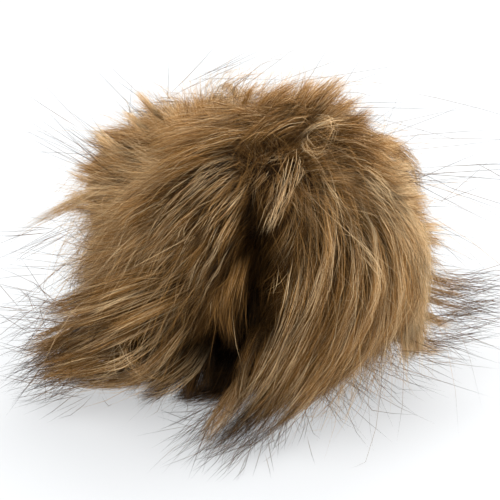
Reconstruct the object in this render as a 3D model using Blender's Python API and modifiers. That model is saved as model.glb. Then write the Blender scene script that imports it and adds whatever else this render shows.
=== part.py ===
"""Fur pom pom: one soft ball of long swept pile, at rest on a small flat spot.

The solid is the outer form of the whole pile: a squashed ball with a parting hollowed out of
its front, and the big locks that fall from the crest over the ball and the surface.
Metres, +Z up. The origin is the middle of the foot, the front is -Y.
"""
import math
from typing import NamedTuple

import bmesh
import bpy
from mathutils import Vector

NAME = "fur_ball"
MM = 0.001

# Driving dimensions, in millimetres
BALL_RADIUS = Vector((61.0, 55.0, 49.5))    # half width, half depth and half height of the ball
BALL_CENTRE = Vector((-2.0, 0.0, 47.5))     # a little lower than its radius, which gives the flat spot
BALL_FULLNESS = 2.25                        # exponent of the outline: 2 is an ellipse, more is fuller
ROOT_DEPTH = 12.0                           # how far under the ball's surface a lock starts
LOCK_SIDES = 3                              # bevel resolution of a lock's round section
TIP_SHARE = 0.27                            # a lock's tip, as a share of its width
ROOT_SHARE = 0.62                           # a lock's root, as a share of its width
FLOOR_BITE = 1.4                            # a lock on the surface is let in by this much, and cut flat
CURVE_STEPS = 5                             # stretches between two route points
VOXEL = 1.7
SMOOTH_FACTOR = 0.5
SMOOTH_ROUNDS = (2, 3)                      # after the first merge and after the second
TRIANGLE_SHARE = 0.1                        # what the decimation keeps
FLOOR_SIZE = 400.0
FLOOR_DEPTH = 60.0
BALL_SEGMENTS = 72
BALL_RINGS = 40

# Colour of the pile
FUR_COLOUR = (0.21, 0.125, 0.062, 1.0)
FUR_ROUGHNESS = 0.6


class Place(NamedTuple):
    """A place on or outside the ball, seen from its centre."""
    azimuth: float      # degrees, 0 is +X and -90 is the front
    elevation: float    # degrees above the level of the centre
    lift: float         # millimetres outside the ball's surface


class Lock(NamedTuple):
    """One big lock of the pile."""
    name: str
    width: float        # millimetres, at its widest
    route: tuple        # places, from the root to the tip


class BackLock(NamedTuple):
    """One lock of the ring at the back."""
    azimuth: float      # degrees, where it starts
    width: float        # millimetres, at its widest
    sweep: float        # degrees that it turns about the ball as it falls
    tip_elevation: float


LOCKS = (
    Lock("left_wisp", 10.0, (Place(-134, 36, 0), Place(-155, 20, 3), Place(-168, 8, 9), Place(180, -1, 22))),
    Lock("left_shoulder", 15.0, (Place(-171, 60, 0), Place(-178, 41, 2), Place(175, 27, 8))),
    Lock("left_cheek", 19.0, (Place(-113, 57, 0), Place(-137, 37, 1), Place(-156, 11, 3))),
    Lock("bright_streak", 15.0, (Place(-98, 59, 0), Place(-112, 38, 1), Place(-121, 16, 5))),
    Lock("inner_streak", 12.0, (Place(-92, 44, 0), Place(-100, 24, 1), Place(-105, 2, 4))),
    Lock("left_middle", 17.0, (Place(-102, 22, -1), Place(-123, 7, 1), Place(-150, -9, 4), Place(-171, -20, 14))),
    Lock("left_lower", 17.0, (Place(-98, 13, -1), Place(-121, -4, 1), Place(-150, -20, 6), Place(-175, -28, 32))),
    Lock("floor_curl", 16.0, (Place(-104, -4, -1), Place(-128, -34, 1), Place(-157, -37, 12), Place(-176, -31, 27))),
    Lock("hanging_lock", 12.0, (Place(-58, 58, 0), Place(-75, 38, 2), Place(-87, 20, 5))),
    Lock("inner_tuft", 11.0, (Place(-92, 24, -13), Place(-98, 12, -8), Place(-102, 0, -7))),
    Lock("front_sweep", 19.0, (Place(-51, 46, 0), Place(-69, 18, 1), Place(-81, -8, 5), Place(-103, -37, 18))),
    Lock("front_fall", 20.0, (Place(-46, 36, 0), Place(-61, 8, 1), Place(-72, -20, 6), Place(-93, -36, 24))),
    Lock("right_fall", 19.0, (Place(-38, 34, 0), Place(-51, 4, 1), Place(-56, -26, 4), Place(-78, -41, 14))),
    Lock("right_drop", 18.0, (Place(-27, 30, 0), Place(-40, 2, 1), Place(-37, -42, 7))),
    Lock("right_side", 18.0, (Place(-11, 34, 0), Place(-26, 8, 1), Place(-14, -36, 10))),
    Lock("right_wisp", 13.0, (Place(-35, 13, 0), Place(-17, -4, 3), Place(0, -14, 14), Place(15, -18, 32))),
    Lock("right_low_wisp", 13.0, (Place(-34, -8, 0), Place(-14, -18, 4), Place(3, -26, 27))),
    Lock("top_arch", 14.0, (Place(-148, 66, -1), Place(139, 72, 2), Place(60, 74, 3), Place(28, 64, 3))),
    Lock("top_left", 14.0, (Place(-150, 58, 0), Place(178, 58, 1), Place(160, 48, 8))),
    Lock("top_right", 15.0, (Place(-10, 74, 0), Place(14, 64, 2), Place(20, 46, 5))),
    Lock("right_shoulder", 15.0, (Place(8, 52, 0), Place(8, 36, 2), Place(4, 16, 6))),
    Lock("right_hip", 17.0, (Place(20, 34, 0), Place(14, 6, 1), Place(16, -30, 9))),
)

# The back is plainer: a ring of locks that fall from the crest towards the surface
BACK_LOCKS = (
    BackLock(34, 17.0, 10, -30),
    BackLock(53, 22.0, 18, -40),
    BackLock(72, 16.0, 8, -34),
    BackLock(91, 23.0, 20, -42),
    BackLock(111, 18.0, 12, -31),
    BackLock(128, 21.0, 16, -39),
    BackLock(148, 17.0, 9, -28),
    BackLock(166, 20.0, 14, -36),
)
BACK_LOCK_TOP = 54                          # elevation where they start, degrees
BACK_LOCK_LIFTS = (0.0, 1.0, 2.0, 7.0)      # millimetres outside the ball, from root to tip

# The parting in the front, where the pile falls away to both sides
PARTING_WIDTH = 17.0
PARTING_ROUTE = (
    Place(-87, 40, -3), Place(-86, 26, -3), Place(-85, 8, -4), Place(-91, -12, -3), Place(-104, -38, 0))
PARTING_ENDS = 0.35                         # its ends, as a share of its width


def ball_reach(direction: Vector) -> float:
    """Distance in millimetres from the ball's centre to its surface along a unit direction."""
    total = sum(abs(part / radius) ** BALL_FULLNESS for part, radius in zip(direction, BALL_RADIUS))
    return total ** (-1.0 / BALL_FULLNESS)


def place_point(place: Place) -> Vector:
    """The point in millimetres that a place names."""
    azimuth = math.radians(place.azimuth)
    elevation = math.radians(place.elevation)
    level = math.cos(elevation)
    direction = Vector((level * math.cos(azimuth), level * math.sin(azimuth), math.sin(elevation)))
    return BALL_CENTRE + direction * (ball_reach(direction) + place.lift)


def smooth_route(points: list) -> list:
    """A smooth route through points, as Catmull-Rom stretches."""
    padded = [2 * points[0] - points[1]] + points + [2 * points[-1] - points[-2]]
    route = []
    for before, start, end, after in zip(padded, padded[1:], padded[2:], padded[3:]):
        for step in range(CURVE_STEPS):
            t = step / CURVE_STEPS
            route.append(0.5 * (2 * start + (end - before) * t
                                + (2 * before - 5 * start + 4 * end - after) * t ** 2
                                + (3 * start - before - 3 * end + after) * t ** 3))
    return route + [points[-1]]


def tapered_rope(name: str, route: list, width: float, start_share: float, end_share: float):
    """A closed mesh of round section along a route, widest in its first half."""
    curve = bpy.data.curves.new(name, "CURVE")
    curve.dimensions = "3D"
    curve.bevel_depth = 0.5 * width * MM
    curve.bevel_resolution = LOCK_SIDES
    curve.render_resolution_u = 0
    curve.use_fill_caps = True
    spline = curve.splines.new("POLY")
    spline.points.add(len(route) - 1)
    for index, point in enumerate(route):
        t = index / (len(route) - 1)
        swell = math.sin(math.pi * t)
        share = start_share if t <= 0.5 else end_share
        spline.points[index].co = (*(point * MM), 1.0)
        spline.points[index].radius = share + (1.0 - share) * swell
    rope = bpy.data.objects.new(name, curve)
    bpy.context.scene.collection.objects.link(rope)
    evaluated = rope.evaluated_get(bpy.context.evaluated_depsgraph_get())
    mesh = bpy.data.meshes.new_from_object(evaluated)
    bpy.data.objects.remove(rope)
    shape = bmesh.new()
    shape.from_mesh(mesh)
    bmesh.ops.remove_doubles(shape, verts=shape.verts, dist=1e-6)
    bmesh.ops.recalc_face_normals(shape, faces=shape.faces)
    shape.to_mesh(mesh)
    shape.free()
    return mesh


def lock_routes() -> list:
    """Every lock as a name, a width and a smooth route, those of the back included."""
    rows = list(LOCKS)
    last = len(BACK_LOCK_LIFTS) - 1
    for row in BACK_LOCKS:
        places = tuple(Place(row.azimuth + row.sweep * step / last,
                             BACK_LOCK_TOP + (row.tip_elevation - BACK_LOCK_TOP) * step / last, lift)
                       for step, lift in enumerate(BACK_LOCK_LIFTS))
        rows.append(Lock(f"back_{row.azimuth}", row.width, places))
    routes = []
    for row in rows:
        points = [place_point(place) for place in row.route]
        root = points[0] - (points[0] - BALL_CENTRE).normalized() * ROOT_DEPTH
        route = smooth_route([root] + points)
        lowest = 0.5 * row.width * TIP_SHARE - FLOOR_BITE
        for point in route:
            point.z = max(point.z, lowest)
        routes.append((row.name, row.width, route))
    return routes


def new_object(name: str, mesh, collection):
    """An object that holds a mesh, in a collection."""
    item = bpy.data.objects.new(name, mesh)
    collection.objects.link(item)
    return item


def hide_helper(item) -> None:
    """Mark an object as a cutter."""
    item.hide_render = True
    item.display_type = "WIRE"


def make_ball_mesh():
    """The squashed ball, without locks."""
    shape = bmesh.new()
    bmesh.ops.create_uvsphere(shape, u_segments=BALL_SEGMENTS, v_segments=BALL_RINGS, radius=1.0)
    for vertex in shape.verts:
        direction = vertex.co.normalized()
        vertex.co = (BALL_CENTRE + direction * ball_reach(direction)) * MM
    mesh = bpy.data.meshes.new("ball")
    shape.to_mesh(mesh)
    shape.free()
    return mesh


def cut(target, cutter) -> None:
    """Take a cutter's shape out of a target, as a live modifier."""
    modifier = target.modifiers.new("cut_" + cutter.name, "BOOLEAN")
    modifier.operation = "DIFFERENCE"
    modifier.object = cutter


def make_floor_cutter(collection):
    """A block under the surface that the ball rests on, whose cut leaves the flat spot."""
    shape = bmesh.new()
    bmesh.ops.create_cube(shape, size=1.0)
    for vertex in shape.verts:
        vertex.co.x *= FLOOR_SIZE * MM
        vertex.co.y *= FLOOR_SIZE * MM
        vertex.co.z = (vertex.co.z - 0.5) * FLOOR_DEPTH * MM
    mesh = bpy.data.meshes.new("floor")
    shape.to_mesh(mesh)
    shape.free()
    cutter = new_object("floor_cutter", mesh, collection)
    hide_helper(cutter)
    return cutter


def make_parted_ball(cutters):
    """The ball's mesh with the parting hollowed out of it."""
    route = smooth_route([place_point(place) for place in PARTING_ROUTE])
    groove = tapered_rope("parting", route, PARTING_WIDTH, PARTING_ENDS, PARTING_ENDS)
    cutter = new_object("parting_cutter", groove, cutters)
    hide_helper(cutter)
    ball = new_object("parted_ball", make_ball_mesh(), cutters)
    cut(ball, cutter)
    evaluated = ball.evaluated_get(bpy.context.evaluated_depsgraph_get())
    mesh = bpy.data.meshes.new_from_object(evaluated)
    bpy.data.objects.remove(ball)
    return mesh


def make_material():
    """The pile's plain material."""
    material = bpy.data.materials.new("fur_pile")
    material.use_nodes = True
    shader = material.node_tree.nodes["Principled BSDF"]
    shader.inputs["Base Color"].default_value = FUR_COLOUR
    shader.inputs["Roughness"].default_value = FUR_ROUGHNESS
    shader.inputs["Metallic"].default_value = 0.0
    return material


def make_fur_ball(parts, cutters):
    """The whole pile as one solid."""
    shape = bmesh.new()
    shape.from_mesh(make_parted_ball(cutters))
    for name, width, route in lock_routes():
        shape.from_mesh(tapered_rope(name, route, width, ROOT_SHARE, TIP_SHARE))
    mesh = bpy.data.meshes.new(NAME)
    shape.to_mesh(mesh)
    shape.free()
    mesh.materials.append(make_material())
    ball = new_object(NAME, mesh, parts)
    for rounds in SMOOTH_ROUNDS:
        merge = ball.modifiers.new("merge", "REMESH")
        merge.mode = "VOXEL"
        merge.voxel_size = VOXEL * MM
        merge.use_smooth_shade = True
        soften = ball.modifiers.new("soften", "SMOOTH")
        soften.factor = SMOOTH_FACTOR
        soften.iterations = rounds
    thin = ball.modifiers.new("thin", "DECIMATE")
    thin.ratio = TRIANGLE_SHARE
    cut(ball, make_floor_cutter(cutters))
    return ball


def main() -> None:
    """Clear the scene and build the pom pom."""
    for item in list(bpy.data.objects):
        bpy.data.objects.remove(item)
    parts = bpy.data.collections.new("pom_pom")
    cutters = bpy.data.collections.new("cutters")
    bpy.context.scene.collection.children.link(parts)
    bpy.context.scene.collection.children.link(cutters)
    make_fur_ball(parts, cutters)


main()
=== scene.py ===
"""Looks of the fur pom pom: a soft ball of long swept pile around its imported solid.

A dark matted base carries the pile.  The pile itself is real hair: a dressed coat of small
clumps that flow away from the crest, the big locks that fall over the front and sides, fans of
dark ends at their tips, soft short fuzz at the rim, and long guard hairs and flyaways.
Everything is worked out in metres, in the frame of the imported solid.
"""
import logging
import math
from dataclasses import dataclass
from enum import Enum
from typing import Dict, List, NamedTuple, Sequence, Tuple

import bpy
import numpy as np
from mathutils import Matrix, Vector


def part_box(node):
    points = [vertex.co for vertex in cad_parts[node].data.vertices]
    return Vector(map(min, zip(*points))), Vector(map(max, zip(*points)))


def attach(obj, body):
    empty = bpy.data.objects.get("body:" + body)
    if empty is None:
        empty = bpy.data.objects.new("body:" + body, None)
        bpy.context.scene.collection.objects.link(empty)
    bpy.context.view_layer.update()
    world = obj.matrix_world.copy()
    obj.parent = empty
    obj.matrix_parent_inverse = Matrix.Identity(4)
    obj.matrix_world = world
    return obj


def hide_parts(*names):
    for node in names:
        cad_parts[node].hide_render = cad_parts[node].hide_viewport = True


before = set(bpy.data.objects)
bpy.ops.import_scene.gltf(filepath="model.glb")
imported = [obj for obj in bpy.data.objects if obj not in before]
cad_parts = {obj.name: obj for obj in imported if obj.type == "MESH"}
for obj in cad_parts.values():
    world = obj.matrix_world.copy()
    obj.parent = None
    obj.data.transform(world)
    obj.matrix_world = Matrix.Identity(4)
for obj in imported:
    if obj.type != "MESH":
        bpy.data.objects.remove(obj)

LOG = logging.getLogger("pom_pom")
NODE = "fur_ball"
BODY = "root"
SLOT = "fur_pile"
MM = 0.001
MOST_TRIANGLES = 195000
CORNERS = 3
TONES = 32
END_STEPS = 8
ROUND_TAPER = 2.0
SLIM_TAPER = 2.4
FULL_TURN = 2 * math.pi

Array = np.ndarray
Triple = Tuple[float, float, float]
Span = Tuple[float, float]


def unit(vectors: Array) -> Array:
    """Vectors made one long.

    Args:
        vectors: any array whose last axis is x, y, z.

    Returns:
        The same shape, each vector with length one.
    """
    length = np.linalg.norm(vectors, axis=-1, keepdims=True)
    return vectors / np.maximum(length, 1e-9)


def ease(values: Array, low: float, high: float) -> Array:
    """Smooth step of values.

    Args:
        values: the values to step.
        low: where the result is 0.
        high: where the result is 1.

    Returns:
        Shares from 0 to 1, in the shape of values.
    """
    share = np.clip((values - low) / (high - low), 0.0, 1.0)
    return share * share * (3.0 - 2.0 * share)


def above_floor(path: Array, least: Array) -> Array:
    """Paths held above the floor, with a soft bend near it.

    Args:
        path: points, shape (count, steps, 3).
        least: height of each path's lie on the floor, shape (count,).

    Returns:
        The paths, none lower than its least height.
    """
    softness = 1.5 * MM
    height = path[..., 2] - least[:, None]
    held = path.copy()
    held[..., 2] = least[:, None] + 0.5 * (height + np.sqrt(height ** 2 + softness ** 2))
    return held


def smooth_route(points: Array, steps: int) -> Array:
    """A smooth route through points, as Catmull-Rom stretches.

    Args:
        points: the points that the route passes, from root to tip.
        steps: stretches between two of them.

    Returns:
        The route's points, both ends included.
    """
    padded = np.vstack((2 * points[0] - points[1], points, 2 * points[-1] - points[-2]))
    route = []
    for before, start, end, after in zip(padded, padded[1:], padded[2:], padded[3:]):
        for step in range(steps):
            t = step / steps
            linear = (end - before) * t
            square = (2 * before - 5 * start + 4 * end - after) * t ** 2
            cube = (3 * start - before - 3 * end + after) * t ** 3
            route.append(0.5 * (2 * start + linear + square + cube))
    return np.array(route + [points[-1]])


def resample(route: Array, count: int) -> Array:
    """A route with its points spread evenly along it.

    Args:
        route: points, shape (steps, 3).
        count: how many points the result has.

    Returns:
        Points, shape (count, 3).
    """
    steps = np.linalg.norm(np.diff(route, axis=0), axis=1)
    along = np.concatenate(([0.0], np.cumsum(steps)))
    wanted = np.linspace(0.0, along[-1], count)
    return np.stack([np.interp(wanted, along, route[:, axis]) for axis in range(3)], axis=1)


def moved(path: Array, way: Array, amount: Array) -> Array:
    """Paths moved along their own directions by an amount at each point."""
    return path + way * amount[..., None]


def taper(u: Array, power: float) -> Array:
    """Share of a hair's full thickness along it, falling to nothing at its tip."""
    return np.sqrt(np.clip(1.0 - u ** power, 0.0, 1.0))


def even_ways(count: int, jitter: float, rng: np.random.Generator) -> Array:
    """Directions spread evenly over a ball, each moved a little.

    Args:
        count: how many directions.
        jitter: spread of the small moves.
        rng: source of the moves.

    Returns:
        Unit vectors, shape (count, 3).
    """
    number = np.arange(count) + 0.5
    rise = np.arcsin(1 - 2 * number / count)
    turn = number * math.pi * (3 - math.sqrt(5))
    ways = np.stack((np.cos(rise) * np.cos(turn), np.cos(rise) * np.sin(turn), np.sin(rise)), axis=1)
    return unit(ways + rng.normal(0, jitter, ways.shape))


def square_frames(path: Array, centre: Array) -> Tuple[Array, Array]:
    """Outward and sideways vectors along paths.

    Args:
        path: points, shape (count, steps, 3).
        centre: the ball's centre.

    Returns:
        Unit vectors square to each path, outward and sideways, in the path's shape.
    """
    along = unit(np.gradient(path, axis=1))
    out = path - centre
    out = unit(out - along * (out * along).sum(axis=-1, keepdims=True))
    return out, np.cross(along, out)


def pick(curves: Array, index: Array, t: Array) -> Array:
    """Points of curves at shares of their length.

    Args:
        curves: shape (curve count, steps, 3).
        index: which curve each row reads, shape (rows,).
        t: shares from 0 to 1, shape (rows, samples).

    Returns:
        Points, shape (rows, samples, 3).
    """
    place = np.clip(t, 0.0, 1.0) * (curves.shape[1] - 1)
    left = np.minimum(place.astype(int), curves.shape[1] - 2)
    share = (place - left)[..., None]
    rows = index[:, None]
    return curves[rows, left] * (1.0 - share) + curves[rows, left + 1] * share


class Shade(Enum):
    """Tone of a lock's hair, from 0, deep brown, to 1, pale blonde."""

    DEEP = 0.12
    BROWN = 0.36
    GOLD = 0.52
    BLONDE = 0.70
    PALE = 0.86


class Ends(Enum):
    """How black the ends of a lock's hairs are."""

    PLAIN = 0.0
    SMOKY = 0.45
    BLACK = 1.0


class Make(Enum):
    """How a lock is dressed, as the share of its clumps' width that is left at their tips."""

    COMBED = (0.25, 0.75)
    LOOSE = (0.35, 0.9)
    TOUSLED = (0.6, 1.3)
    STRAND = (0.15, 0.45)


class Place(NamedTuple):
    """A place on the ball or off it, by angles in degrees from its centre and a lift in mm."""

    azimuth: float
    elevation: float
    lift: float = 0.0


@dataclass(frozen=True)
class Lock:
    """One big lock of the pile, with its width in mm, its share of pale hairs and its route of places."""

    name: str
    width: float
    shade: Shade
    ends: Ends
    make: Make
    clumps: int
    pale: float
    route: Tuple[Triple, ...]


@dataclass(frozen=True)
class Dent:
    """A shallow soft dent in the ball, with its width and depth in mm."""

    middle: Place
    width: float
    depth: float


@dataclass(frozen=True)
class Fan:
    """Dark hair ends that splay from one place towards another, over a root patch in mm."""

    name: str
    count: int
    patch: float
    spread: float
    start: Triple
    end: Triple


LOCKS: Tuple[Lock, ...] = (
    Lock("left_wisp", 5.5, Shade.PALE, Ends.SMOKY, Make.COMBED, 4, 0.3,
         ((-140, 36, 0), (-164, 27, -3), (-175, 18, 0), (-176, 9, 8), (-177, 2, 22))),
    Lock("left_shoulder", 13.0, Shade.GOLD, Ends.PLAIN, Make.LOOSE, 12, 0.15,
         ((-168, 58, 0), (176, 42, -1), (174, 34, 3), (175, 31, 9))),
    Lock("left_tuft", 10.0, Shade.GOLD, Ends.PLAIN, Make.LOOSE, 7, 0.15,
         ((-170, 34, -6), (-178, 29, -2), (180, 25, 5))),
    Lock("left_tuft_2", 9.0, Shade.BLONDE, Ends.PLAIN, Make.TOUSLED, 4, 0.3,
         ((-168, 40, -3), (-178, 37, 1), (179, 35, 8))),
    Lock("left_tuft_3", 9.0, Shade.BLONDE, Ends.PLAIN, Make.TOUSLED, 4, 0.3,
         ((-166, 30, -4), (-176, 26, 1), (-179, 22, 8))),
    Lock("left_tuft_4", 8.0, Shade.BLONDE, Ends.PLAIN, Make.TOUSLED, 3, 0.3,
         ((-164, 20, -5), (-174, 17, -1), (-178, 12, 4))),
    Lock("left_spike_1", 5.0, Shade.PALE, Ends.PLAIN, Make.LOOSE, 2, 0.5,
         ((-178, 58, -4), (176, 55, 4), (177, 53, 12))),
    Lock("left_spike_2", 6.0, Shade.PALE, Ends.PLAIN, Make.LOOSE, 2, 0.5,
         ((-176, 50, -4), (178, 48, 2), (179, 46, 8))),
    Lock("left_cheek", 19.0, Shade.BROWN, Ends.PLAIN, Make.TOUSLED, 16, 0.12,
         ((-113, 57, -1), (-134, 38, -2), (-146, 15, -4))),
    Lock("crest_left", 20.0, Shade.GOLD, Ends.PLAIN, Make.TOUSLED, 18, 0.15,
         ((34, 74, -1), (-118, 79, 1), (-135, 58, 3), (-145, 40, 4))),
    Lock("crest_front", 16.0, Shade.BROWN, Ends.PLAIN, Make.TOUSLED, 14, 0.12,
         ((-40, 74, 0), (-100, 66, 2), (-122, 50, 3), (-132, 34, 4))),
    Lock("dome_fall", 18.0, Shade.BROWN, Ends.PLAIN, Make.LOOSE, 16, 0.06,
         ((28, 63, 0), (-16, 74, 1), (-71, 70, 2), (-91, 62, 2), (-99, 53, 1))),
    Lock("bright_streak", 13.0, Shade.DEEP, Ends.PLAIN, Make.COMBED, 12, 0.2,
         ((-96, 58, 1), (-107, 46, 3), (-115, 33, 4), (-122, 18, 6))),
    Lock("second_streak", 9.0, Shade.DEEP, Ends.PLAIN, Make.COMBED, 8, 0.16,
         ((-98, 46, 1), (-105, 36, 2), (-110, 24, 3), (-114, 11, 4))),
    Lock("inner_streak", 8.0, Shade.DEEP, Ends.PLAIN, Make.COMBED, 6, 0.2,
         ((-95, 40, 0), (-101, 27, 1), (-106, 15, 2), (-109, 3, 4))),
    Lock("left_middle", 18.0, Shade.BROWN, Ends.PLAIN, Make.LOOSE, 20, 0.15,
         ((-108, 18, 0), (-118, 11, 1), (-139, -1, 3), (-164, -14, 9), (-172, -16, 18))),
    Lock("left_lower", 15.0, Shade.BROWN, Ends.PLAIN, Make.LOOSE, 17, 0.2,
         ((-105, 12, -2), (-114, 7, 0), (-135, -6, 3), (-156, -20, 9), (-164, -25, 26))),
    Lock("left_skirt", 18.0, Shade.GOLD, Ends.SMOKY, Make.COMBED, 25, 0.2,
         ((-146, -13, -3), (-155, -20, 5), (-166, -24, 14), (-172, -24, 28))),
    Lock("floor_curl", 11.0, Shade.BROWN, Ends.BLACK, Make.COMBED, 14, 0.40,
         ((-109, -14, -4), (-118, -26, -1), (-138, -35, 3), (-151, -33, 10), (-160, -30, 17),
          (-166, -26, 29))),
    # left_hollow is near-black hair that fills the hollow as painted shade.
    Lock("left_hollow", 17.0, Shade.DEEP, Ends.PLAIN, Make.TOUSLED, 18, 0.03,
         ((-143, -36, -18), (-144, -29, -12), (-147, -26, -4), (-152, -25, 4))),
    Lock("left_fill", 9.0, Shade.BROWN, Ends.SMOKY, Make.LOOSE, 12, 0.15,
         ((-129, -27, -4), (-137, -24, 1), (-145, -23, 6), (-151, -23, 14), (-155, -23, 21),
          (-158, -23, 27))),
    Lock("curl_arc", 7.0, Shade.BROWN, Ends.PLAIN, Make.LOOSE, 6, 0.25,
         ((-110, -4, -5), (-122, -20, 0), (-136, -30, 2), (-148, -32, 7))),
    Lock("curl_strand_1", 6.0, Shade.PALE, Ends.PLAIN, Make.STRAND, 7, 0.4,
         ((-115, -2, -2), (-121, -10, 0), (-128, -17, 4), (-137, -20, 9), (-148, -22, 16))),
    Lock("curl_strand_2", 7.0, Shade.BLONDE, Ends.PLAIN, Make.STRAND, 8, 0.4,
         ((-140, -8, 5), (-136, -13, 6), (-130, -18, 6), (-122, -22, 5), (-113, -24, 2))),
    Lock("hanging_lock", 7.0, Shade.BROWN, Ends.PLAIN, Make.COMBED, 5, 0.35,
         ((-60, 57, 1), (-70, 49, 4), (-77, 41, 5), (-81, 35, 6), (-85, 29, 6), (-87, 24, 6))),
    Lock("hanging_strand", 7.0, Shade.BLONDE, Ends.PLAIN, Make.STRAND, 15, 0.5,
         ((-52, 61, 1), (-68, 52, 5), (-76, 43, 6), (-81, 36, 7), (-85, 29, 7), (-87, 23, 7))),
    Lock("whorl_1", 2.6, Shade.BLONDE, Ends.PLAIN, Make.STRAND, 6, 0.6,
         ((-17, 70, 4), (-39, 63, 9), (-50, 55, 12), (-56, 50, 12), (-62, 47, 10), (-68, 45, 7))),
    Lock("whorl_2", 3.0, Shade.BLONDE, Ends.PLAIN, Make.STRAND, 5, 0.6,
         ((-66, 61, 4), (-62, 60, 9), (-55, 59, 12), (-45, 58, 11), (-25, 56, 6))),
    Lock("whorl_3", 2.4, Shade.BLONDE, Ends.PLAIN, Make.STRAND, 5, 0.6,
         ((-43, 63, 5), (-63, 55, 10), (-68, 50, 12), (-66, 47, 12), (-59, 48, 11), (-45, 54, 8))),
    Lock("whorl_4", 1.6, Shade.BLONDE, Ends.PLAIN, Make.STRAND, 3, 0.6,
         ((-57, 50, 4), (-59, 42, 5), (-60, 35, 5), (-59, 27, 4))),
    Lock("streak_strand_1", 10.0, Shade.PALE, Ends.PLAIN, Make.STRAND, 13, 0.4,
         ((-98, 63, 0), (-104, 52, 3), (-109, 44, 5), (-113, 36, 6), (-117, 30, 7), (-120, 23, 7))),
    Lock("streak_strand_2", 9.0, Shade.BLONDE, Ends.PLAIN, Make.STRAND, 11, 0.4,
         ((-93, 55, 0), (-98, 45, 3), (-102, 37, 4), (-105, 31, 5), (-107, 24, 6), (-110, 18, 6))),
    Lock("streak_strand_3", 8.0, Shade.BLONDE, Ends.PLAIN, Make.STRAND, 11, 0.4,
         ((-93, 47, -1), (-97, 37, 2), (-100, 30, 4), (-102, 23, 5), (-104, 17, 5), (-105, 10, 5))),
    Lock("right_strand_1", 9.0, Shade.PALE, Ends.PLAIN, Make.STRAND, 9, 0.4,
         ((-30, 47, 1), (-39, 39, 4), (-41, 31, 4), (-42, 24, 4), (-42, 17, 3))),
    Lock("right_strand_2", 8.0, Shade.PALE, Ends.PLAIN, Make.STRAND, 6, 0.4,
         ((-51, 32, 1), (-52, 23, 4), (-51, 15, 4), (-50, 6, 4), (-49, -4, 3))),
    Lock("front_strand_1", 12.0, Shade.PALE, Ends.PLAIN, Make.STRAND, 12, 0.4,
         ((-70, 26, 1), (-75, 19, 4), (-79, 10, 5), (-83, -1, 5), (-87, -12, 5))),
    Lock("left_strand_1", 12.0, Shade.PALE, Ends.PLAIN, Make.STRAND, 8, 0.4,
         ((-111, 11, 1), (-119, 9, 4), (-128, 4, 5), (-137, -2, 6), (-150, -10, 7))),
    Lock("inner_tuft", 12.0, Shade.GOLD, Ends.PLAIN, Make.TOUSLED, 11, 0.12,
         ((-94, 24, -9), (-97, 12, -4), (-99, -1, -5), (-98, -16, -10))),
    # The deep locks from inner_fall to foot_fill are near-black hair in the parting and under the ball, as
    # painted shade.
    Lock("inner_fall", 11.0, Shade.DEEP, Ends.PLAIN, Make.TOUSLED, 8, 0.05,
         ((-94, 8, -13), (-97, -6, -12), (-99, -22, -8))),
    Lock("under_fall", 16.0, Shade.DEEP, Ends.PLAIN, Make.LOOSE, 16, 0.0,
         ((-120, -24, -12), (-118, -28, -6), (-127, -46, -1), (-133, -53, 4))),
    Lock("under_front", 16.0, Shade.DEEP, Ends.PLAIN, Make.LOOSE, 14, 0.0,
         ((-101, -29, -13), (-102, -33, -8), (-111, -53, -4), (-115, -60, 0))),
    Lock("under_left", 14.0, Shade.DEEP, Ends.SMOKY, Make.TOUSLED, 14, 0.05,
         ((-118, -20, -9), (-130, -32, -4), (-140, -41, 2), (-150, -42, 8))),
    Lock("under_fill", 13.0, Shade.DEEP, Ends.PLAIN, Make.TOUSLED, 14, 0.0,
         ((-65, -68, -6), (-93, -59, -4), (-110, -51, -2), (-126, -49, -1), (-140, -46, 1))),
    Lock("foot_fill", 15.0, Shade.DEEP, Ends.PLAIN, Make.TOUSLED, 12, 0.0,
         ((-100, -28, -4), (-110, -45, -3), (-136, -61, -4), (-145, -57, -1))),
    Lock("front_sweep", 18.0, Shade.BROWN, Ends.BLACK, Make.COMBED, 24, 0.2,
         ((-52, 44, 0), (-60, 24, 2), (-67, 7, 4), (-76, -8, 6), (-88, -32, 8), (-105, -34, 22))),
    Lock("front_lock", 15.0, Shade.BLONDE, Ends.PLAIN, Make.LOOSE, 14, 0.5,
         ((-81, -7, -3), (-87, -12, 1), (-94, -41, -5), (-101, -38, 5), (-105, -34, 15), (-107, -32, 23))),
    Lock("sweep_edge", 7.0, Shade.BROWN, Ends.BLACK, Make.COMBED, 8, 0.45,
         ((-57, 38, 1), (-64, 24, 3), (-74, 8, 4), (-82, -8, 6), (-92, -28, 8), (-104, -34, 20))),
    Lock("front_fall", 19.0, Shade.GOLD, Ends.BLACK, Make.COMBED, 26, 0.17,
         ((-44, 39, 0), (-53, 16, 2), (-60, -1, 3), (-70, -18, 4), (-84, -37, 8), (-98, -32, 24))),
    Lock("middle_fall", 17.0, Shade.BROWN, Ends.BLACK, Make.COMBED, 19, 0.2,
         ((-39, 36, 0), (-45, 12, 1), (-54, -12, 3), (-72, -36, 2), (-91, -36, 16))),
    Lock("right_fall", 18.0, Shade.BROWN, Ends.SMOKY, Make.COMBED, 17, 0.12,
         ((-40, 34, 0), (-50, 4, 1), (-59, -20, 1), (-71, -38, 2))),
    Lock("right_drop", 18.0, Shade.BROWN, Ends.SMOKY, Make.COMBED, 20, 0.1,
         ((-27, 34, 0), (-38, 4, 1), (-46, -31, -1))),
    Lock("right_side", 18.0, Shade.BLONDE, Ends.SMOKY, Make.LOOSE, 16, 0.2,
         ((-15, 36, -2), (-26, 8, -1), (-26, -28, 1))),
    Lock("right_foot", 17.0, Shade.BLONDE, Ends.SMOKY, Make.LOOSE, 14, 0.15,
         ((-24, 2, -3), (-22, -13, -2), (-19, -25, 1), (-18, -36, 5))),
    Lock("right_top_fall", 18.0, Shade.BROWN, Ends.PLAIN, Make.TOUSLED, 14, 0.12,
         ((-18, 68, 0), (-24, 46, 1), (-25, 26, 1))),
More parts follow.
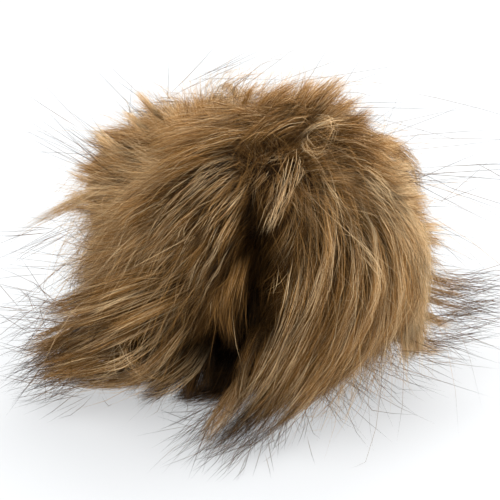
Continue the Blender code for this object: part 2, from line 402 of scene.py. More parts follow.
    Lock("right_tuft_1", 7.0, Shade.BROWN, Ends.BLACK, Make.LOOSE, 3, 0.1,
         ((-20, 4, -6), (-10, -5, -2), (-5, -10, 6), (-2, -12, 18))),
    Lock("right_tuft_2", 7.0, Shade.BROWN, Ends.BLACK, Make.LOOSE, 3, 0.1,
         ((-24, -4, -5), (-13, -12, -1), (-7, -15, 8), (-4, -16, 20))),
    Lock("right_tuft_3", 8.0, Shade.GOLD, Ends.BLACK, Make.LOOSE, 4, 0.25,
         ((-28, -11, -4), (-16, -19, 0), (-11, -21, 8), (-8, -20, 17))),
    Lock("right_tuft_4", 8.0, Shade.BROWN, Ends.BLACK, Make.LOOSE, 4, 0.25,
         ((-30, -20, -2), (-19, -25, 2), (-13, -26, 9), (-9, -25, 16))),
    Lock("top_bump", 14.0, Shade.GOLD, Ends.PLAIN, Make.TOUSLED, 9, 0.12,
         ((-158, 60, -1), (166, 66, -1), (150, 68, 1))),
    Lock("top_arc", 6.0, Shade.BLONDE, Ends.PLAIN, Make.STRAND, 10, 0.3,
         ((174, 66, 1), (167, 69, 5), (156, 74, 8), (131, 79, 8), (81, 82, 8), (37, 76, 8))),
    Lock("top_ridge", 13.0, Shade.BLONDE, Ends.PLAIN, Make.TOUSLED, 8, 0.12,
         ((34, 80, -1), (20, 74, 2), (12, 66, 6))),
    Lock("top_fill", 12.0, Shade.GOLD, Ends.PLAIN, Make.TOUSLED, 9, 0.15,
         ((177, 82, -1), (82, 85, 0), (27, 77, 2), (16, 69, 4))),
    Lock("top_left", 15.0, Shade.BLONDE, Ends.PLAIN, Make.TOUSLED, 12, 0.15,
         ((-150, 60, -1), (178, 58, -4), (160, 50, -2))),
    Lock("top_right", 14.0, Shade.BLONDE, Ends.PLAIN, Make.TOUSLED, 10, 0.3,
         ((14, 74, -2), (5, 67, 4), (2, 60, 10))),
    Lock("rim_tuft_1", 13.0, Shade.GOLD, Ends.PLAIN, Make.TOUSLED, 8, 0.1,
         ((-18, 66, -3), (-8, 59, 2), (3, 51, 7))),
    Lock("rim_tuft_2", 9.0, Shade.GOLD, Ends.PLAIN, Make.LOOSE, 6, 0.1,
         ((-24, 50, -3), (-13, 44, 0), (0, 37, 2))),
    Lock("rim_tuft_3", 11.0, Shade.GOLD, Ends.PLAIN, Make.TOUSLED, 6, 0.1,
         ((-22, 40, -5), (-12, 33, -4), (1, 26, -3))),
    Lock("rim_tuft_4", 9.0, Shade.GOLD, Ends.PLAIN, Make.LOOSE, 6, 0.1,
         ((-26, 30, -5), (-15, 23, -3), (-3, 16, -1))),
    Lock("rim_tuft_5", 11.0, Shade.GOLD, Ends.PLAIN, Make.TOUSLED, 6, 0.1,
         ((-24, 20, -7), (-14, 13, -4), (-2, 6, -1))),
    Lock("rim_tuft_6", 10.0, Shade.GOLD, Ends.PLAIN, Make.TOUSLED, 4, 0.1,
         ((-12, 14, -6), (-5, 4, -3), (-3, -3, 2))),
    Lock("right_shoulder", 17.0, Shade.BLONDE, Ends.PLAIN, Make.TOUSLED, 14, 0.2,
         ((8, 54, -5), (9, 38, -9), (6, 20, -6))),
    Lock("right_hip", 17.0, Shade.GOLD, Ends.SMOKY, Make.TOUSLED, 16, 0.2,
         ((20, 36, -2), (14, 8, -4), (10, -24, 0))),
)


@dataclass(frozen=True)
class BackLock:
    """One lock of the back, whose route runs down from its start, in degrees and mm."""

    azimuth: float
    top: float
    tip: float
    sweep: float
    width: float
    shade: Shade
    lift: float


BACK_LOCKS: Tuple[BackLock, ...] = (
    BackLock(28, 50, -24, 4, 17.0, Shade.GOLD, 3.0),
    BackLock(44, 62, 8, 16, 19.0, Shade.BROWN, 2.0),
    BackLock(56, 30, -40, 14, 20.0, Shade.GOLD, 7.0),
    BackLock(74, 56, -8, -12, 17.0, Shade.BLONDE, 3.0),
    BackLock(84, 34, -36, 16, 19.0, Shade.BROWN, 6.0),
    BackLock(100, 64, 4, 18, 18.0, Shade.GOLD, 2.0),
    BackLock(112, 26, -42, -8, 21.0, Shade.GOLD, 7.0),
    BackLock(132, 52, -4, 14, 18.0, Shade.BROWN, 3.0),
    BackLock(138, 24, -34, 12, 20.0, Shade.GOLD, 6.0),
    BackLock(156, 44, -22, -6, 17.0, Shade.GOLD, -2.0),
)
BACK_STEPS = 4

FANS: Tuple[Fan, ...] = (
    Fan("wisp_end", 16, 3.0, 0.14, (-168, 8, 9), (180, -1, 24)),
    Fan("shoulder_end", 26, 7.0, 0.30, (178, 30, -2), (173, 30, 22)),
    Fan("shoulder_flyaways", 14, 6.0, 0.20, (172, 30, 6), (168, 30, 34)),
    Fan("middle_end", 95, 9.0, 0.55, (-167, -14, 14), (-173, -16, 26)),
    Fan("lower_end", 140, 8.0, 0.34, (-161, -23, 16), (-165, -26, 31)),
    Fan("floor_end", 150, 8.0, 0.34, (-158, -27, 18), (-164, -26, 31)),
    Fan("sweep_end", 145, 8.0, 0.28, (-106, -42, 9), (-108, -34, 24)),
    Fan("fall_end", 150, 8.0, 0.28, (-95, -36, 15), (-101, -32, 26)),
    Fan("drop_end", 80, 9.0, 0.28, (-84, -39, 8), (-89, -37, 18)),
    Fan("sweep_side", 34, 8.0, 0.36, (-105, -48, -1), (-115, -41, 10)),
    Fan("front_right_1", 36, 7.0, 0.5, (-70, -42, 0), (-74, -41, 15)),
    Fan("front_right_2", 44, 8.0, 0.5, (-50, -42, -4), (-48, -38, 16)),
    Fan("front_right_3", 48, 8.0, 0.5, (-32, -38, -4), (-28, -35, 20)),
    Fan("front_right_4", 40, 8.0, 0.45, (-16, -32, -2), (-8, -31, 22)),
    Fan("right_end_1", 75, 6.0, 0.20, (-5, -11, 11), (0, -12, 27)),
    Fan("right_end_2", 75, 6.0, 0.18, (-7, -15, 13), (-2, -14, 29)),
    Fan("right_end_3", 70, 7.0, 0.24, (-10, -20, 12), (-5, -17, 28)),
    Fan("right_end_4", 50, 8.0, 0.34, (-13, -26, 8), (-9, -24, 18)),
    Fan("right_rim", 34, 14.0, 0.50, (-4, 10, -8), (-2, 2, 16)),
    Fan("right_top_rim", 34, 14.0, 0.40, (0, 34, -8), (0, 26, 18)),
    Fan("right_flyaways", 26, 16.0, 0.34, (-2, 26, 2), (0, 14, 34)),
    Fan("left_rim", 44, 12.0, 0.50, (-160, 0, -6), (-168, -6, 15)),
    Fan("top_left_spikes", 22, 8.0, 0.50, (158, 47, 0), (158, 48, 15)),
    Fan("top_arcs", 14, 8.0, 0.20, (140, 70, 3), (60, 76, 9)),
    Fan("crest_flyaways", 14, 12.0, 0.30, (10, 66, 2), (4, 48, 18)),
)
RIM: Tuple[Place, ...] = (Place(4, 60), Place(-2, 44), Place(2, 30), Place(-4, 16), Place(0, 4),
                          Place(176, 46), Place(178, 34), Place(180, 22), Place(179, 60))
BACK_FANS = 10
BACK_FAN_SPAN = (30.0, 165.0)


def all_locks() -> List[Lock]:
    """The locks of the front and sides, and the ring of the back.

    Returns:
        Every lock, front first.
    """
    rows = list(LOCKS)
    for number, lock in enumerate(BACK_LOCKS):
        places = []
        for share in np.linspace(0.0, 1.0, BACK_STEPS):
            azimuth = lock.azimuth + lock.sweep * share ** 1.5
            elevation = lock.top + (lock.tip - lock.top) * share
            places.append(Place(azimuth, elevation, lock.lift * share ** 2))
        rows.append(Lock(f"back_{number + 1}", lock.width, lock.shade, Ends.SMOKY, Make.LOOSE, 17, 0.16,
                         tuple(places)))
    return rows


def all_fans() -> List[Fan]:
    """The fans of the front and sides, and a row of them round the back.

    Returns:
        Every fan, front first.
    """
    rows = list(FANS)
    for number, azimuth in enumerate(np.linspace(*BACK_FAN_SPAN, BACK_FANS)):
        start = Place(azimuth, -30 + 5 * (number % 3), 3)
        end = Place(azimuth + 8, -34 + 4 * (number % 2), 17)
        rows.append(Fan(f"back_{number}", 50, 10.0, 0.5, start, end))
    return rows


@dataclass
class BallForm:
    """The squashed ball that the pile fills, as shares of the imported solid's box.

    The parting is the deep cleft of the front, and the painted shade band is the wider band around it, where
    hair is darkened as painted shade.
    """

    low: Triple
    high: Triple
    half_share: Triple = (0.3657, 0.4160, 0.4723)
    centre_share: Triple = (0.4887, 0.4992, 0.4532)
    fullness: float = 2.25
    parting: Tuple[Place, ...] = (Place(-87, 40), Place(-87, 24), Place(-89, 7), Place(-96, -12),
                                  Place(-104, -36))
    parting_widths: Tuple[float, ...] = (5.0, 8.0, 10.5, 14.0, 14.0)
    parting_depth: float = 26.0
    # The band round the parting along which hair is darkened as painted shade.
    painted_shade_band: Tuple[Place, ...] = (Place(-34, 66), Place(-62, 56), Place(-84, 38), Place(-90, 10),
                                Place(-97, -14), Place(-106, -36))
    painted_shade_width: float = 18.0
    margin: float = 8.0
    dents: Tuple[Dent, ...] = (
        Dent(Place(-133, -17), 8.0, 13.0),
        Dent(Place(178, 16), 20.0, 9.0),
        Dent(Place(5, 32), 22.0, 15.0),
        Dent(Place(3, 12), 20.0, 9.0),
    )

    def __post_init__(self) -> None:
        """Work out the ball's half sizes, its centre and the line of its parting."""
        low = np.array(self.low)
        size = np.array(self.high) - low
        self.half = size * np.array(self.half_share)
        self.centre = low + size * np.array(self.centre_share)
        stretches = 6
        self.parting_line = smooth_route(self.points(self.parting), stretches)
        self.painted_shade_line = smooth_route(self.points(self.painted_shade_band), stretches)
        places = np.arange(len(self.parting_widths)) * stretches
        self.parting_room = np.interp(np.arange(len(self.parting_line)), places, self.parting_widths) * MM

    def direction(self, azimuth: float, elevation: float) -> Array:
        """Unit vector from the centre for two angles.

        Args:
            azimuth: degrees round from +X towards +Y.
            elevation: degrees up from the level.

        Returns:
            The unit vector.
        """
        turn, rise = math.radians(azimuth), math.radians(elevation)
        level = math.cos(rise)
        return np.array((level * math.cos(turn), level * math.sin(turn), math.sin(rise)))

    def reach(self, directions: Array) -> Array:
        """Distance from the centre to the pile's surface along unit directions."""
        total = (np.abs(directions / self.half) ** self.fullness).sum(axis=-1)
        return total ** (-1.0 / self.fullness)

    def points(self, places: Sequence[Triple]) -> Array:
        """The points that places name.

        Args:
            places: places on the ball or off it, each as the values of a Place.

        Returns:
            Points, shape (count, 3).
        """
        rows = []
        for place in (Place(*values) for values in places):
            way = self.direction(place.azimuth, place.elevation)
            rows.append(self.centre + way * (self.reach(way) + place.lift * MM))
        return np.array(rows)

    def parting_gap(self, points: Array) -> Array:
        """How open the parting is at points, whatever their distance from the centre.

        Args:
            points: any array whose last axis is x, y, z.

        Returns:
            Shares from 0, outside the parting, to 1, in its middle.
        """
        return self.closeness(points, self.parting_line, self.parting_room)

    def painted_shade_share(self, points: Array) -> Array:
        """How deep points are in the painted shade band of the pile, from 0 to 1."""
        return self.closeness(points, self.painted_shade_line, self.painted_shade_width * MM)

    def closeness(self, points: Array, line: Array, room: Array) -> Array:
        """How near points are to a line over the ball, whatever their distance from the centre.

        Args:
            points: any array whose last axis is x, y, z.
            line: the line's points.
            room: distance at which the closeness fades, one for the line or one for each point of it.

        Returns:
            Shares from 0, far off, to 1, on the line.
        """
        way = unit(points.reshape(-1, 3) - self.centre)
        angle = np.arccos(np.clip(way @ unit(line - self.centre).T, -1.0, 1.0))
        share = np.exp(-(angle * self.half.mean() / room) ** 2).max(axis=1)
        return share.reshape(points.shape[:-1])

    def press(self, points: Array) -> Array:
        """How deep the parting and the dents press the pile in at points.

        Args:
            points: any array whose last axis is x, y, z.

        Returns:
            Depths in metres.
        """
        way = unit(points - self.centre)
        depth = self.parting_depth * MM * self.parting_gap(points)
        for dent in self.dents:
            middle = self.direction(dent.middle.azimuth, dent.middle.elevation)
            angle = np.arccos(np.clip(way @ middle, -1.0, 1.0))
            depth = depth + dent.depth * MM * np.exp(-(angle * self.half.mean() / (dent.width * MM)) ** 2)
        return depth

    def kept_in(self, path: Array) -> Array:
        """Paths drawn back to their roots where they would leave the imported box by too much.

        Args:
            path: points, shape (count, steps, 3).

        Returns:
            The paths, none further out than the box and its margin.
        """
        low = np.array(self.low) - self.margin * MM
        high = np.array(self.high) + self.margin * MM
        root = np.clip(path[:, :1], low + MM, high - MM)
        step = path - root
        with np.errstate(divide="ignore", invalid="ignore"):
            room = np.where(step > 0, (high - root) / step, np.where(step < 0, (low - root) / step, np.inf))
        share = np.minimum(1.0, np.nanmin(np.abs(room), axis=(1, 2)))
        return root + step * share[:, None, None]


@dataclass
class Groom:
    """The lie of the pile: which way hair runs at each place of the ball."""

    form: BallForm
    crest: Place = Place(-5, 76)
    spread: float = 0.30
    crest_weight: float = 0.22
    fall_weight: float = 0.22
    crest_calm: float = 0.42
    combed_middle: Place = Place(-78, -4)
    combed_span: Span = (0.75, 1.35)

    def __post_init__(self) -> None:
        """Collect the guide directions from the big locks."""
        self.top = self.form.direction(self.crest.azimuth, self.crest.elevation)
        self.front = self.form.direction(self.combed_middle.azimuth, self.combed_middle.elevation)
        ways, flows = [], []
        for lock in all_locks():
            route = resample(smooth_route(self.form.points(lock.route), 6), 9)
            middle = 0.5 * (route[1:] + route[:-1])
            ways.append(unit(middle - self.form.centre))
            flows.append(unit(np.diff(route, axis=0)))
        self.ways = np.concatenate(ways)
        self.flows = np.concatenate(flows)

    def flow(self, ways: Array) -> Array:
        """Direction of the pile along the surface at unit directions from the centre.

        Args:
            ways: unit vectors, shape (count, 3).

        Returns:
            Unit vectors in the surface, shape (count, 3).
        """
        closeness = np.exp((ways @ self.ways.T - 1.0) / (0.5 * self.spread ** 2))
        pull = closeness @ self.flows
        away = unit(ways * (ways @ self.top)[:, None] - self.top)
        down = np.zeros_like(ways)
        down[:, 2] = -1.0
        pull = pull + self.crest_weight * away + self.fall_weight * down
        pull = pull - ways * (pull * ways).sum(axis=1, keepdims=True)
        return unit(pull)

    def fluff(self, ways: Array) -> Array:
        """How loosely the pile stands, from 0 on the combed front to 1 on top, sides and back."""
        angle = np.arccos(np.clip(ways @ self.front, -1.0, 1.0))
        return ease(angle, *self.combed_span)

    def lie(self, ways: Array, wander: Array) -> Tuple[Array, Array]:
        """How far and which way hair leans at unit directions from the centre.

        Near the crest it stands up and leans every way, and further off it lies in the flow.

        Args:
            ways: unit vectors, shape (count, 3).
            wander: a unit vector for each hair, which it follows near the crest.

        Returns:
            A share of the full lean, shape (count,), and unit vectors in the surface.
        """
        flow = self.flow(ways)
        angle = np.arccos(np.clip(ways @ self.top, -1.0, 1.0))
        calm = 1.0 - ease(angle, 0.0, self.crest_calm)
        flow = flow * (1.0 - 0.4 * calm)[:, None] + 0.55 * wander * calm[:, None]
        flow = unit(flow - ways * (flow * ways).sum(axis=1, keepdims=True))
        return 1.0 - 0.3 * calm, flow


@dataclass
class Clumps:
    """Many small clumps, each a path with its widths, colour values and number of hairs."""

    path: Array
    width: Array
    tone: Array
    dark_end: Array
    hairs: Array
    tip_share: Array
    loft: Array
    pale: Array

    def joined(self, other: "Clumps") -> "Clumps":
        """These clumps and others as one set."""
        pairs = ((getattr(self, name), getattr(other, name)) for name in self.__dataclass_fields__)
        return Clumps(*(np.concatenate(pair) for pair in pairs))


@dataclass
class Hairs:
    """Finished hairs as points, thicknesses and colour values."""

    points: Array
    radius: Array
    tone: Array
    dark_end: Array
    knots: Array

    def part(self, chosen: Array) -> "Hairs":
        """Those hairs that a mask or an index picks."""
        return Hairs(self.points[chosen], self.radius[chosen], self.tone[chosen], self.dark_end[chosen],
                     self.knots)

    def triangles_each(self) -> int:
        """Triangles of one hair: two end fans and a band of quads between two rings."""
        return 2 * CORNERS + 2 * CORNERS * (self.points.shape[1] - 3)


@dataclass
class HairMesh:
    """Joined meshes of closed three-sided hairs, pointed at both ends."""

    body: str
    slot: str
    material: bpy.types.Material

    def build(self, label: str, hairs: Hairs, rng: np.random.Generator) -> int:
        """Make a set of hairs into as many pieces as the triangle limit asks for.

        Args:
            label: the pieces' name, before their number.
            hairs: the hairs to build.
            rng: source of each hair's turn about itself.

        Returns:
            The number of triangles made.
        """
        each = hairs.triangles_each()
        pieces = math.ceil(len(hairs.points) * each / MOST_TRIANGLES)
        tips = hairs.points[:, -1]
        order = np.argsort(np.arctan2(tips[:, 1], tips[:, 0]), kind="stable")
        for number, chosen in enumerate(np.array_split(order, pieces)):
            item = self.piece(f"fur_{label}_{number + 1}", hairs.part(chosen), rng)
            LOG.info("%s: %d hairs, %d triangles", item.name, len(chosen), len(chosen) * each)
        return len(hairs.points) * each

    def piece(self, name: str, hairs: Hairs, rng: np.random.Generator) -> bpy.types.Object:
        """One object of many hairs.

        Args:
            name: the object's name.
            hairs: the hairs to build.
            rng: source of each hair's turn about itself.

        Returns:
            The new object, which rides on its body.
        """
        count, steps = hairs.points.shape[:2]
        rings = steps - 2
        faces = self.face_pattern(rings)
        corners = np.concatenate([np.array(face) for face in faces])
        sizes = np.array([len(face) for face in faces])
        each = rings * CORNERS + 2
        starts = np.arange(count)[:, None]
        face_starts = np.concatenate(([0], np.cumsum(sizes)[:-1]))[None] + starts * len(corners)

        mesh = bpy.data.meshes.new(name)
        mesh.vertices.add(count * each)
        mesh.vertices.foreach_set("co", self.vertices(hairs, rng).astype(np.float32).ravel())
        mesh.loops.add(count * len(corners))
        mesh.loops.foreach_set("vertex_index", (corners[None] + starts * each).astype(np.int32).ravel())
        mesh.polygons.add(count * len(faces))
        mesh.polygons.foreach_set("loop_start", face_starts.astype(np.int32).ravel())
        mesh.update(calc_edges=True)
        mesh.shade_smooth()

        inner = np.repeat(hairs.knots[1:-1], CORNERS)
        along = np.concatenate((inner, hairs.knots[:1], hairs.knots[-1:]))
        tone = np.round(np.clip(hairs.tone, 0, 1) * (TONES - 1))
        dark = np.round(np.clip(hairs.dark_end, 0, 1) * (END_STEPS - 1))
        self.store(mesh, "along", np.tile(along, count))
        self.store(mesh, "tone", np.repeat(tone / (TONES - 1), each))
        self.store(mesh, "dark_end", np.repeat(dark / (END_STEPS - 1), each))
        self.bake_map(mesh, faces, dark * TONES + tone, along)

        item = bpy.data.objects.new(name, mesh)
        bpy.context.scene.collection.objects.link(item)
        mesh.materials.append(self.material)
        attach(item, self.body)
        return item

    @staticmethod
    def vertices(hairs: Hairs, rng: np.random.Generator) -> Array:
        """Ring by ring vertices of every hair, then its root point and its tip point.

        Args:
            hairs: the hairs to build.
            rng: source of each hair's turn about itself.

        Returns:
            Points, shape (count, vertices of one hair, 3).
        """
        count, steps = hairs.points.shape[:2]
        along = unit(np.gradient(hairs.points, axis=1))
        side = unit(rng.normal(size=(count, 1, 3)) * np.ones((1, steps, 1)))
        side = unit(side - along * (side * along).sum(axis=-1, keepdims=True))
        other = np.cross(along, side)
        turns = np.arange(CORNERS) * 2.0 * math.pi / CORNERS
        cosine, sine = np.cos(turns)[None, None, :, None], np.sin(turns)[None, None, :, None]
        ring = side[:, 1:-1, None] * cosine + other[:, 1:-1, None] * sine
        ring = hairs.points[:, 1:-1, None] + hairs.radius[:, 1:-1, None, None] * ring
        ends = (hairs.points[:, :1], hairs.points[:, -1:])
        return np.concatenate((ring.reshape(count, -1, 3), *ends), axis=1)

    @staticmethod
    def face_pattern(rings: int) -> List[Tuple[int, ...]]:
        """Faces of one hair, as its own vertex numbers, pointing outwards.

        Args:
            rings: rings of vertices between the root point and the tip point.

        Returns:
            Quads between the rings, then the fans at the root and at the tip.
        """
        root, tip, last = rings * CORNERS, rings * CORNERS + 1, (rings - 1) * CORNERS
        pairs = [(corner, (corner + 1) % CORNERS) for corner in range(CORNERS)]
        quads = [(row + one, row + two, row + CORNERS + two, row + CORNERS + one)
                 for row in range(0, last, CORNERS) for one, two in pairs]
        root_fan = [(two, one, root) for one, two in pairs]
        tip_fan = [(last + one, last + two, tip) for one, two in pairs]
        return quads + root_fan + tip_fan

    @staticmethod
    def store(mesh: bpy.types.Mesh, key: str, values: Array) -> None:
        """Keep one number for each vertex in an attribute of the mesh."""
        mesh.attributes.new(key, "FLOAT", "POINT").data.foreach_set("value", values.astype(np.float32))

    @staticmethod
    def bake_map(mesh: bpy.types.Mesh, faces: List[Tuple[int, ...]], column: Array, along: Array) -> None:
        """Lay out every hair in the map column of its colour values, from root to tip.

        Args:
            mesh: the hairs' mesh.
            faces: the faces of one hair.
            column: each hair's column.
            along: share of the length at each vertex of one hair.
        """
        columns = TONES * END_STEPS
        quad_side = (0.1, 0.9, 0.9, 0.1)
        fan_side = (0.1, 0.9, 0.5)
        across = np.concatenate([quad_side if len(face) == 4 else fan_side for face in faces])
        vertex = np.concatenate([np.array(face) for face in faces])
        u = (column[:, None] + across[None]) / columns
        v = np.tile(0.001 + 0.998 * along[vertex], (len(column), 1))
        layer = mesh.uv_layers.new(name="OFBake")
        layer.data.foreach_set("uv", np.stack((u, v), axis=-1).astype(np.float32).ravel())


@dataclass
class HairCut:
    """How clumps are filled with hairs; sizes in mm."""

    knots: Tuple[float, ...] = (0.0, 0.42, 1.0)
    thickness: float = 0.115
    depth: float = 9.0
    root_spread: float = 0.30
    shortest: float = 0.55
    frizz: float = 0.7
    stray: float = 0.10
    stray_size: float = 4.5
    tone_spread: float = 0.14
    # How much lighter outer hairs of a clump are than inner ones, as painted shade of the pile's depth.
    painted_depth_shade: float = 0.08
    # How much hair near the band round the parting is darkened, as painted shade.
    painted_shade_tone: float = 0.15
    # How much hairs on the right side of the ball are lightened, and over which span in mm, as painted
    # light.
    painted_light_tone: float = 0.26
    painted_light_span: Span = (33.0, 43.0)
    pale_tone: float = 0.88
    pale_spread: float = 0.08
    # How many more pale hairs lie on a clump's outer side, as painted light.
    pale_highlight_lift: float = 0.8
    flatness: float = 0.6
    root_dive: float = 2.2
    floor_lie: Span = (0.2, 1.6)
    dark_span: Span = (0.68, 0.92)
    gap_shade: float = 0.75
    gap_depth: float = 6.0

    def fill(self, clumps: Clumps, form: BallForm, rng: np.random.Generator) -> Hairs:
        """Hairs for every clump.

        Args:
            clumps: the clumps to fill.
            form: the ball that they lie on.
            rng: source of variety.

        Returns:
            The hairs.
        """
        index = np.repeat(np.arange(len(clumps.hairs)), clumps.hairs)
        count = len(index)
        angle = rng.uniform(0, FULL_TURN, count)
        radius = np.sqrt(rng.uniform(0, 1, count))
        across, above = radius * np.cos(angle), radius * np.sin(angle)
        start = rng.uniform(0, 1, count) * self.root_spread
        end = 1.0 - (1.0 - self.shortest) * rng.uniform(0, 1, count) ** 1.5
        u = np.array(self.knots)[None]
        t = start[:, None] + (end - start)[:, None] * u
        path = self.lay(clumps, index, t, across, above, form, rng)
        thick = 0.5 * self.thickness * MM * rng.uniform(0.7, 1.3, count)[:, None]
        profile = taper(u, SLIM_TAPER) * (0.8 + 0.2 * np.sin(math.pi * u))
        tone, dark = self.colour(clumps, index, path, above, form, rng)
        return Hairs(path, thick * profile, tone, dark * ease(end, *self.dark_span), u[0])

    def lay(self, clumps: Clumps, index: Array, t: Array, across: Array, above: Array, form: BallForm,
            rng: np.random.Generator) -> Array:
        """Lay each hair along its clump, with its frizz, its loft and its stray.

        Args:
            clumps: the clumps to fill.
            index: each hair's clump.
            t: share of the clump's length at each point of each hair.
            across: each hair's place over the clump's width, from -1 to 1.
            above: each hair's place over the clump's height, from -1 to 1.
            form: the ball that they lie on.
            rng: source of variety.

        Returns:
            Points, shape (hairs, knots, 3).
        """
        count = len(index)
        out, side = square_frames(clumps.path, form.centre)
        u = np.array(self.knots)[None]
        path = pick(clumps.path, index, t)
        outward, sideways = unit(pick(out, index, t)), unit(pick(side, index, t))
        tip_share = clumps.tip_share[index][:, None]
        width = 0.5 * clumps.width[index][:, None] * (tip_share + (1 - tip_share) * (1 - t) ** 0.8)
        path = moved(path, sideways, across[:, None] * width)
        path = moved(path, outward, self.flatness * above[:, None] * width)
        path = moved(path, -unit(path - form.centre), self.depth * MM * (1 - u) ** self.root_dive)
        wave = rng.uniform(0, FULL_TURN, (2, count, 1))
        pace = rng.uniform(0.2, 0.8, (2, count, 1)) * FULL_TURN
        size = self.frizz * MM * rng.uniform(0.3, 1.5, (count, 1)) * u ** 0.8
        path = moved(path, sideways, size * (np.sin(pace[0] * u + wave[0]) - np.sin(wave[0])))
        path = moved(path, outward, 0.7 * size * (np.sin(pace[1] * u + wave[1]) - np.sin(wave[1])))
        loft = clumps.loft[index] * np.abs(rng.normal(0, 1, count))
        path = moved(path, outward, loft[:, None] * u ** 2)
        loose = (rng.uniform(0, 1, count) < self.stray) * self.stray_size * MM
        away = rng.normal(size=(2, count, 1)) * loose[:, None] * u ** 2
        path = moved(moved(path, sideways, away[0]), outward, np.abs(away[1]))
        return form.kept_in(above_floor(path, rng.uniform(*self.floor_lie, count) * MM))

    def colour(self, clumps: Clumps, index: Array, path: Array, above: Array, form: BallForm,
               rng: np.random.Generator) -> Tuple[Array, Array]:
        """Tone of each hair, and how dark its end may be.

        Args:
            clumps: the clumps to fill.
            index: each hair's clump.
            path: the hairs' points.
            above: each hair's place over the clump's height, from -1 to 1.
            form: the ball that they lie on.
            rng: source of variety.

        Returns:
            Tones and shares of darkness, one for each hair.
        """
        count = len(index)
        place = path[:, -2]
        # Outer hairs of a clump are lighter and inner ones darker, as painted shade of the pile's depth.
        tone = clumps.tone[index] + rng.normal(0, self.tone_spread, count) + self.painted_depth_shade * above
        # Hairs near the band round the parting are darkened as painted shade.
        tone = np.maximum(tone - self.painted_shade_tone * form.painted_shade_share(place), 0.0)
        # Hairs on the right side of the ball are lightened as painted light.
        side_on = (place[:, 0] - form.centre[0]) / MM
        tone = tone + self.painted_light_tone * ease(side_on, *self.painted_light_span)
        # Pale hairs are partly real blonde hair and partly painted highlight; more of them lie on a clump's
        # outer side as painted light.
        pale = rng.uniform(0, 1, count) < clumps.pale[index] * (1.0 + self.pale_highlight_lift * above)
        tone = np.where(pale, self.pale_tone + rng.normal(0, self.pale_spread, count), tone)
        dark = clumps.dark_end[index]
        dark = dark * (rng.uniform(0, 1, count) < 0.35 + 0.6 * dark)
        # Hairs deep in the parting are darkened as painted shade.
        arm = place - form.centre
        depth = form.reach(unit(arm)) - np.linalg.norm(arm, axis=1)
        gap_shaded = form.parting_gap(place) * ease(depth, 0.0, self.gap_depth * MM)
        return tone * (1.0 - self.gap_shade * gap_shaded), dark


@dataclass
class Coat:
    """The dressed coat: small clumps all over the ball, following the groom."""

    form: BallForm
    groom: Groom
    count: int = 2500
    length: Span = (44.0, 28.0)
    steps: int = 12
    start_share: float = 0.74
    full_share: Span = (0.97, 0.925)
    # Coat tone from the combed front to top, sides and back: darker under the big locks as painted shade,
    # lighter on the rim as painted light.
    tone: Span = (0.36, 0.64)
    flare: Span = (2.2, 7.5)
    loft: Span = (0.8, 3.2)
    sway: Span = (0.24, 0.48)
    hairs: Tuple[int, int] = (25, 38)
    width: Span = (2.8, 6.2)
    pale: float = 0.12
    jitter: float = 0.035
    lowest: float = -0.55
    thinning: float = 0.45
    length_spread: Span = (0.65, 1.15)
    lift: Span = (-3.0, 2.0)
    tone_spread: float = 0.12
    dark_heights: Span = (-0.035, -0.005)
    seed: int = 11

    def clumps(self) -> Clumps:
        """Grow a clump from each place of an even spread over the ball.

        Returns:
            The clumps.
        """
        rng = np.random.default_rng(self.seed)
        ways = even_ways(self.count, self.jitter, rng)
        ways = ways[ways[:, 2] > self.lowest - self.thinning * rng.uniform(0, 1, self.count) ** 0.5]
        count = len(ways)
        fluff = self.groom.fluff(ways)
        length = self.between(self.length, fluff) * MM * rng.uniform(*self.length_spread, count)
        step = length / (self.steps - 1)
        sway = rng.normal(0, 1, (count, 1)) * self.between(self.sway, fluff)[:, None]
        lift = rng.uniform(*self.lift, count) * MM
        flare = self.between(self.flare, fluff) * np.abs(rng.normal(0, 1, count)) * MM
        path = np.empty((count, self.steps, 3))
        wander = unit(rng.normal(size=(count, 3)))
        for index in range(self.steps):
            u = index / (self.steps - 1)
            share = self.start_share + (self.between(self.full_share, fluff) - self.start_share) * u ** 0.7
            reach = self.form.reach(ways) * share + lift * u + flare * u ** 2.5
            reach = reach - self.form.press(self.form.centre + ways)
            path[:, index] = self.form.centre + ways * reach[:, None]
            speed, flow = self.groom.lie(ways, wander)
            across = np.cross(ways, flow)
            flow = unit(flow + across * sway * (0.4 + u))
            ways = unit(ways + flow * (speed * step / self.form.reach(ways))[:, None])
        # Clumps are darker on the combed front as painted shade under the big locks, and lighter on top,
        # sides and back as painted light.
        tone = np.clip(self.between(self.tone, fluff) + rng.normal(0, self.tone_spread, count), 0, 1)
        low = ease(-path[:, -1, 2], *self.dark_heights)
        dark = 0.1 + 0.5 * low * rng.uniform(0, 1, count)
        width = rng.uniform(*self.width, count) * (1.0 + 0.5 * fluff) * MM
        hairs = rng.integers(*self.hairs, count)
        soft = rng.uniform(0, 1, count) < 0.35 + 0.6 * fluff
        tip_share = np.where(soft, rng.uniform(0.6, 1.2, count), rng.uniform(0.3, 0.8, count))
        pale = np.full(count, self.pale)
        return Clumps(path, width, tone, dark, hairs, tip_share, self.between(self.loft, fluff) * MM, pale)

    @staticmethod
    def between(span: Span, share: Array) -> Array:
        """Values between a span's two ends."""
        return span[0] + (span[1] - span[0]) * share


